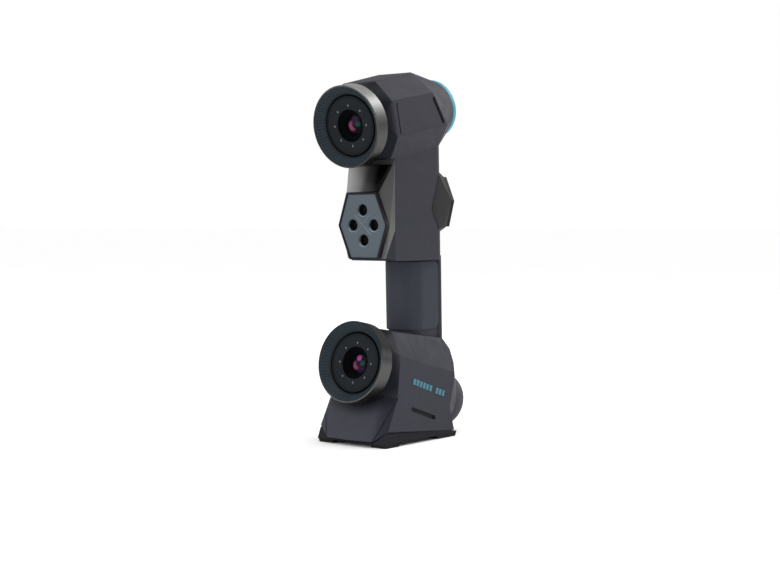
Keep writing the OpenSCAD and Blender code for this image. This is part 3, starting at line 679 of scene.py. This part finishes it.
def ring_light(head):
    place = HEADS[head]
    housing = [(16.2, -0.3), (RING_R - 1, -0.3), (RING_R, 0.7), (RING_R, RING_DEPTH - 0.45),
               (RING_R - 0.45, RING_DEPTH), (RING_R - 1.2, RING_DEPTH), (RING_R - 1.2, 2), (16.2, 2)]
    lathe(head + "_ring_body", housing, place, "ring_metal", [head + "_ring_housing"], 0.3, 192)
    ribbed_reflector(head, place)
    soften(head + "_led_disc", 0.18, material="disc_face")
    spots = [Matrix.Rotation(pi / 2 + k * tau / LEDS, 4, "Z") @ Matrix.Translation((LED_CIRCLE, 0, 0))
             for k in range(LEDS)]
    dome = [(0, DISC_FRONT + 0.05), (0.5, DISC_FRONT), (0.95, DISC_FRONT - 0.2),
            (LED_R - 0.05, DISC_FRONT - 0.55), (LED_R, DISC_FRONT - 2.9), (0, DISC_FRONT - 2.9)]
    verts, faces = merged_copies(*revolved(dome, 24), spots)
    piece(head + "_led_domes", verts, faces, place, "led_lens", [head + "_leds"])
    collar = [(LED_R + 0.1, DISC_FRONT - 0.4), (LED_R + 0.1, DISC_FRONT + 0.12),
              (LED_R + 0.45, DISC_FRONT + 0.12), (LED_R + 0.6, DISC_FRONT - 0.4)]
    verts, faces = merged_copies(*revolved(filleted(collar, 0.08, 2), 24), spots)
    piece(head + "_led_collars", verts, faces, place, "slate_plastic")


def spherical(radius, sphere_r, front, back, steps=10):
    """Closed profile of a lens: a dome of that sphere radius, front at z = front, flat at back."""
    arc = []
    for k in range(steps + 1):
        r = radius * k / steps
        arc.append((r, front - (sphere_r - sqrt(sphere_r ** 2 - r ** 2))))
    return arc + [(radius, back), (0, back)]


def lens(head):
    place = HEADS[head]
    barrel = [(0, -29.8), (12.2, -29.8), (12.2, -24), (15, -24), (15, -8), (13.2, -8), (13.2, 5.2),
              (12.5, 5.2), (12.2, 4.8), (11.9, 4.8), (11.7, 4.1), (11.35, 4.1), (11.1, 3.3), (10.7, 3.3),
              (10.5, 2.9), (9.9, 2.9), (9.7, 2.2), (9.2, 2.2), (9.0, 1.4), (8.7, 1.2), (8.55, 0.9),
              (8.55, -1.6), (7.4, -1.6), (7.4, -2.4), (6.6, -2.6), (6.6, -6), (5.6, -6.4), (5.6, -13),
              (0, -13)]
    lathe(head + "_barrel", barrel, place, "black_metal", [head + "_lens_barrel"], 0.12, 128)
    front = spherical(GLASS_R, 24, GLASS_FRONT, -1.4)
    verts, faces = revolved(front, 96)
    piece(head + "_front_lens", verts, faces, place, "lens_glass", [head + "_lens_glass"], head + "_lens")


for head in HEADS:
    ring_light(head)
    lens(head)


# ---- laser block ----

HOOD_STEPS = 16
HOOD_FOOT_HALF_W, HOOD_FOOT_Y, HOOD_FOOT_Z = 15.6, 27.2, -0.6
HOOD_TOP_INSET, HOOD_BOW, HOOD_THICKNESS = 2, 2.6, 3.1


def hood():
    """Gloss panel that rises from the laser frame and bows towards the front at its top."""
    low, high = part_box("laser_hood")
    top_y, half_w = high.y - HOOD_TOP_INSET * MM, high.x
    wide = 2 * HOOD_STEPS + 1
    front, back = [], []
    for j in range(HOOD_STEPS + 1):
        v = j / HOOD_STEPS
        for i in range(wide):
            u = i / HOOD_STEPS - 1
            foot = LASER @ Vector((HOOD_FOOT_HALF_W * u, HOOD_FOOT_Y, HOOD_FOOT_Z))
            top = Vector((half_w * u, top_y - HOOD_BOW * MM * (1 - u * u), high.z))
            spot = foot.lerp(top, v)
            front.append(spot / MM)
            back.append((spot + Vector((0, HOOD_THICKNESS * MM, 0))) / MM)
    faces = []
    for j in range(HOOD_STEPS):
        for i in range(wide - 1):
            a = j * wide + i
            quad = (a, a + 1, a + wide + 1, a + wide)
            faces += [quad, tuple(len(front) + k for k in quad)]
    rim = (list(range(wide)) + [j * wide + wide - 1 for j in range(1, HOOD_STEPS + 1)]
           + [HOOD_STEPS * wide + i for i in range(wide - 2, -1, -1)]
           + [j * wide for j in range(HOOD_STEPS - 1, 0, -1)])
    for a, b in zip(rim, rim[1:] + rim[:1]):
        faces.append((a, b, len(front) + b, len(front) + a))
    weighted(piece("gloss_hood", front + back, faces, Matrix.Scale(MM, 4), "gloss_black", ["laser_hood"]))


APERTURE_R, APERTURES = 4.8, [(11, 0), (-11, 0), (0, 12.5), (0, -12.5)]
PLATE_FRONT = -0.7


def apertures():
    """Black cups behind the four holes, each with a small window lens, and the ridges between them."""
    spots = [Matrix.Translation((x, y, 0)) for x, y in APERTURES]
    cup = [(APERTURE_R + 0.3, -3.25), (APERTURE_R + 0.3, -4.95), (0, -4.95), (0, -4.75), (2.9, -4.75),
           (3.1, -4.3), (3.7, -4.2), (3.9, -3.6), (4.5, -3.5), (APERTURE_R - 0.1, -3.25)]
    verts, faces = merged_copies(*revolved(filleted(cup, 0.15, 2), 40), spots)
    piece("laser_cups", verts, faces, LASER, "gloss_black", material="black_metal")
    window = spherical(2.8, 7, -4.1, -4.7, 6)
    verts, faces = merged_copies(*revolved(window, 32), spots)
    piece("laser_window_lenses", verts, faces, LASER, "window_glass", ["laser_windows"])
    start, end, half_w, height = 0.4, 12.4, 0.8, 0.5
    ridge = [(start, -half_w, 0), (start, half_w, 0), (end, half_w, 0), (end, -half_w, 0),
             (start + 0.5, 0, height), (end - 1.5, 0, height)]
    sides = [(0, 3, 2, 1), (0, 1, 4), (1, 2, 5, 4), (2, 3, 5), (3, 0, 4, 5)]
    turns = [Matrix.Translation((0, 0, PLATE_FRONT - 0.02)) @ Matrix.Rotation(pi / 4 + k * pi / 2, 4, "Z")
             for k in range(4)]
    verts, faces = merged_copies(ridge, sides, turns)
    piece("laser_plate_cross", verts, faces, LASER, "blue_grey_plate", smooth=False)


hood()
apertures()


# ---- casing and trim ----

SHARP_ANGLE = 12
EDGE_WIDTHS = {
    "grip_cover": 0.5, "base_plate": 0.5, "rubber_feet": 0.5, "accent_ring": 0.3, "top_rear_cap": 0.4,
    "laser_housing": 0.6, "laser_frame": 0.3, "laser_plate": 0.3, "scan_button": 0.35, "up_button": 0.3,
    "down_button": 0.3, "left_button": 0.3, "right_button": 0.3, "upper_vents": 0.2, "lower_vents": 0.2,
}

for name in ("shell_right", "shell_left"):
    soften(name, 0.5, SHARP_ANGLE)
for name, width in EDGE_WIDTHS.items():
    soften(name, width)
soften("accent_strips", 0.15, material="mark")
soften("button_housing", 0.6, material="bulge")
soften("button_panel", 0.4, material="rim")
soften("bottom_rear_cap", 0.5, material="cap")


# ---- screws ----

HEX_STEPS = 48


def socket_screw(head_r, head_h, shank_r, length):
    """Screw with its axis on Z and its head's underside at z = 0, with a hexagon socket."""
    hexagon, depth = 0.5 * head_r, 0.6 * head_h
    rows = [(shank_r - 0.3, -length, 0), (shank_r, 0.3 - length, 0), (shank_r, 0, 0), (head_r, 0, 0),
            (head_r, head_h - 0.35, 0), (head_r - 0.1, head_h - 0.12, 0), (head_r - 0.35, head_h, 0),
            (hexagon + 0.12, head_h, 1), (hexagon, head_h - 0.12, 1), (hexagon, head_h - depth, 1)]
    verts, faces = [(0, 0, -length), (0, 0, head_h - depth - 0.3)], []
    for r, z, is_hexagon in rows:
        for k in range(HEX_STEPS):
            a = tau * k / HEX_STEPS
            reach = r / cos((a + pi / 6) % (pi / 3) - pi / 6) if is_hexagon else r
            verts.append((reach * cos(a), reach * sin(a), z))
    for k in range(HEX_STEPS):
        n = (k + 1) % HEX_STEPS
        faces.append((0, 2 + n, 2 + k))
        for row in range(len(rows) - 1):
            a = 2 + row * HEX_STEPS
            faces.append((a + k, a + n, a + n + HEX_STEPS, a + k + HEX_STEPS))
        a = 2 + (len(rows) - 1) * HEX_STEPS
        faces.append((a + k, a + n, 1))
    return verts, faces


def screws(name, node, turn, head_h, shank_r, axis):
    """Socket screws in place of a CAD node's plain ones; axis is the head's direction, as (index, sign)."""
    index, sign = axis
    places = []
    for low, high in islands(node):
        seat = (low + high) / 2
        seat[index] = high[index] if sign > 0 else low[index]
        seat[index] -= sign * head_h * MM
        across = (index + 1) % 3
        head_r = (high[across] - low[across]) / 2 / MM
        length = (high[index] - low[index]) / MM - head_h
        places.append(Matrix.Translation(seat / MM) @ turn)
    verts, faces = merged_copies(*socket_screw(head_r, head_h, shank_r, length), places)
    weighted(piece(name, verts, faces, Matrix.Scale(MM, 4), "steel", [node]))


screws("casing_socket_screws", "shell_screws", Matrix.Rotation(-pi / 2, 4, "Y"), 2.0, 1.2, (0, -1))
screws("base_socket_screws", "base_screws", Matrix.Rotation(pi, 4, "X"), 1.1, 1.2, (2, -1))


# ---- cable socket ----

SOCKET_TILT = -14
SOCKET_LIP_R, SOCKET_R, SOCKET_BORE_R, SOCKET_LENGTH, SOCKET_DEPTH = 9.4, 8, 5.6, 18.1, 8
INSERT_FRONT, PIN_CIRCLE, OUTER_PINS, THREADS = -4.8, 2.8, 6, 6


def cable_socket():
    """Threaded round socket with an insert and seven pins."""
    axis = Vector((0, cos(radians(SOCKET_TILT)), sin(radians(SOCKET_TILT))))
    place = (Matrix.Translation(end_of("cable_socket", axis))
             @ Matrix.Rotation(radians(SOCKET_TILT - 90), 4, "X") @ Matrix.Scale(MM, 4))
    threads = []
    for k in range(THREADS):
        z = -SOCKET_DEPTH + 2.2 + k * 0.8
        threads += [(SOCKET_BORE_R, z), (SOCKET_BORE_R + 0.3, z + 0.4)]
    shell = ([(SOCKET_BORE_R, -SOCKET_DEPTH)] + threads
             + [(SOCKET_BORE_R, -0.7), (SOCKET_BORE_R + 0.6, 0), (SOCKET_LIP_R - 0.5, 0),
                (SOCKET_LIP_R, -0.5), (SOCKET_LIP_R, -1.15), (SOCKET_R, -1.15), (SOCKET_R, -SOCKET_LENGTH),
                (0, -SOCKET_LENGTH), (0, -SOCKET_DEPTH)])
    lathe("cable_socket_shell", shell, place, "steel", ["cable_socket"], 0.1, 96)
    insert = [(0, -SOCKET_DEPTH), (SOCKET_BORE_R - 0.2, -SOCKET_DEPTH), (SOCKET_BORE_R - 0.2, -5.2),
              (SOCKET_BORE_R - 0.6, INSERT_FRONT), (0, INSERT_FRONT)]
    lathe("cable_socket_insert", insert, place, "dark_plastic", radius=0.15, steps=64)
    pin = [(0, INSERT_FRONT), (0.5, INSERT_FRONT), (0.5, -2.4), (0.3, -2.0), (0, -1.9)]
    circle = Matrix.Translation((PIN_CIRCLE, 0, 0))
    spots = [Matrix()] + [Matrix.Rotation(k * tau / OUTER_PINS, 4, "Z") @ circle for k in range(OUTER_PINS)]
    verts, faces = merged_copies(*revolved(filleted(pin, 0.1, 2), 16), spots)
    piece("cable_socket_pins", verts, faces, place, "brass")


cable_socket()


# ---- marks on the keys, and trim on the scan button and the upper cap ----

KEYS = {"up": 0, "left": 270, "down": 180, "right": 90}


def facing_back(spot):
    """Millimetre frame at spot whose +Z looks back and whose +Y is up."""
    return (Matrix.Translation(spot) @ Matrix.Rotation(pi, 4, "Z") @ Matrix.Rotation(pi / 2, 4, "X")
            @ Matrix.Scale(MM, 4))


def rear_middle(node):
    low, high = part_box(node)
    return Vector(((low.x + high.x) / 2, high.y, (low.z + high.z) / 2))


def chevron():
    """Raised arrowhead that points to +Y, with sloped sides."""
    outline = [(0, 1.35), (1.5, -0.15), (1.0, -0.65), (0, 0.35), (-1.0, -0.65), (-1.5, -0.15)]
    count = len(outline)
    base = [(x, y, -0.05) for x, y in outline]
    verts = base + [(0.93 * x, 0.93 * (y - 0.2) + 0.2, 0.18) for x, y in outline]
    faces = [(i, (i + 1) % count, count + (i + 1) % count, count + i) for i in range(count)]
    faces += [(6, 7, 8, 9), (6, 9, 10, 11), (0, 3, 2, 1), (0, 5, 4, 3)]
    return verts, faces


for key, turn in KEYS.items():
    place = facing_back(rear_middle(key + "_button")) @ Matrix.Rotation(radians(turn), 4, "Z")
    piece(key + "_key_mark", *chevron(), place, "accent", material="key_mark", smooth=False,
          body=key + "_key")

scan_place = facing_back(rear_middle("scan_button"))
scan_collar = [(6.1, -0.3), (6.1, 0.1), (6.45, 0.28), (6.8, 0.1), (6.8, -0.3)]
lathe("scan_button_collar", scan_collar, scan_place, "accent", radius=0.1, steps=96, material="rim",
      body="scan_key")

cap_axis = Matrix.Rotation(radians(90 - TOP_TILT), 4, "X") @ Vector((0, 0, -1))
cap_place = (Matrix.Translation(end_of("top_rear_cap", cap_axis))
             @ Matrix.Rotation(radians(-90 - TOP_TILT), 4, "X") @ Matrix.Scale(MM, 4))
disc = [(0, -0.3), (17.2, -0.3), (17.2, 0), (16.6, 0.35), (13.4, 0.35), (12.9, 0.1), (0, 0.1)]
lathe("top_rear_badge_disc", disc, cap_place, "dark_plastic", radius=0.12, steps=128, material="rim")


# ---- camera, floor and light ----

AZIMUTH, ELEVATION, DISTANCE = radians(38.0), radians(2.32), 1.24174
RING_RIM_Y = -0.065934
TARGET = Vector((0, cad_bounds[0][1] - RING_RIM_Y, 0.13063))
FOCAL, SENSOR, CLIP_END = 67.55, 36, 200
FLOOR_R, FLOOR_STEPS = 60, 64
LIGHT_AIM = (0, 0, 0.16)
SUN_STRENGTH, SUN_SIZE, SUN_DIRECTION = 1.65, radians(50), (-0.13, 0, -0.95)
BACKDROP_STRENGTH, WORLD_STRENGTH = 1.0, 0.55

camera = bpy.data.objects.new("camera", bpy.data.cameras.new("camera"))
SCENE.collection.objects.link(camera)
camera.location = TARGET + DISTANCE * Vector((sin(AZIMUTH) * cos(ELEVATION),
                                              -cos(AZIMUTH) * cos(ELEVATION), sin(ELEVATION)))
camera.rotation_euler = (TARGET - camera.location).to_track_quat("-Z", "Y").to_euler()
camera.data.lens = FOCAL
camera.data.sensor_width = SENSOR
camera.data.clip_end = CLIP_END
SCENE.camera = camera

mesh = bpy.data.meshes.new("floor")
mesh.from_pydata([(FLOOR_R * cos(tau * k / FLOOR_STEPS), FLOOR_R * sin(tau * k / FLOOR_STEPS), 0)
                  for k in range(FLOOR_STEPS)], [], [list(range(FLOOR_STEPS))])
floor = bpy.data.objects.new("floor", mesh)
SCENE.collection.objects.link(floor)
paper = Surface("floor_paper", 0.9, specular=0.1)
paper.colour(paper.blend(paper.spread(paper.noise(6, 3), 0, 1), (0.93,) * 3, (0.95,) * 3))
mesh.materials.append(paper.material)


def softbox(name, place, size, watts):
    data = bpy.data.lights.new(name, "AREA")
    data.shape = "RECTANGLE"
    data.size, data.size_y = size
    data.energy = watts
    obj = bpy.data.objects.new(name, data)
    SCENE.collection.objects.link(obj)
    obj.location = place
    obj.rotation_euler = (Vector(LIGHT_AIM) - Vector(place)).to_track_quat("-Z", "Y").to_euler()


sun = bpy.data.objects.new("overhead", bpy.data.lights.new("overhead", "SUN"))
SCENE.collection.objects.link(sun)
sun.data.energy = SUN_STRENGTH
sun.data.angle = SUN_SIZE
sun.rotation_euler = Vector(SUN_DIRECTION).to_track_quat("-Z", "Y").to_euler()
softbox("left_box", (-0.9, -1.6, 0.9), (1.2, 1.2), 16)
softbox("front_box", (1.5, -1.5, 0.7), (1.2, 1.2), 8.5)
softbox("rear_box", (0.5, 1.6, 1.2), (0.9, 1.2), 22)

world = bpy.data.worlds.new("studio")
SCENE.world = world
world.use_nodes = True
tree = world.node_tree
background = tree.nodes["Background"]
seen = tree.nodes.new("ShaderNodeBackground")
seen.inputs["Color"].default_value = (1, 1, 1, 1)
seen.inputs["Strength"].default_value = BACKDROP_STRENGTH
background.inputs["Color"].default_value = (1, 1, 1, 1)
background.inputs["Strength"].default_value = WORLD_STRENGTH
path = tree.nodes.new("ShaderNodeLightPath")
mix = tree.nodes.new("ShaderNodeMixShader")
tree.links.new(path.outputs["Is Camera Ray"], mix.inputs["Fac"])
tree.links.new(background.outputs["Background"], mix.inputs[1])
tree.links.new(seen.outputs["Background"], mix.inputs[2])
tree.links.new(mix.outputs["Shader"], tree.nodes["World Output"].inputs["Surface"])

SCENE.view_settings.view_transform = "Standard"
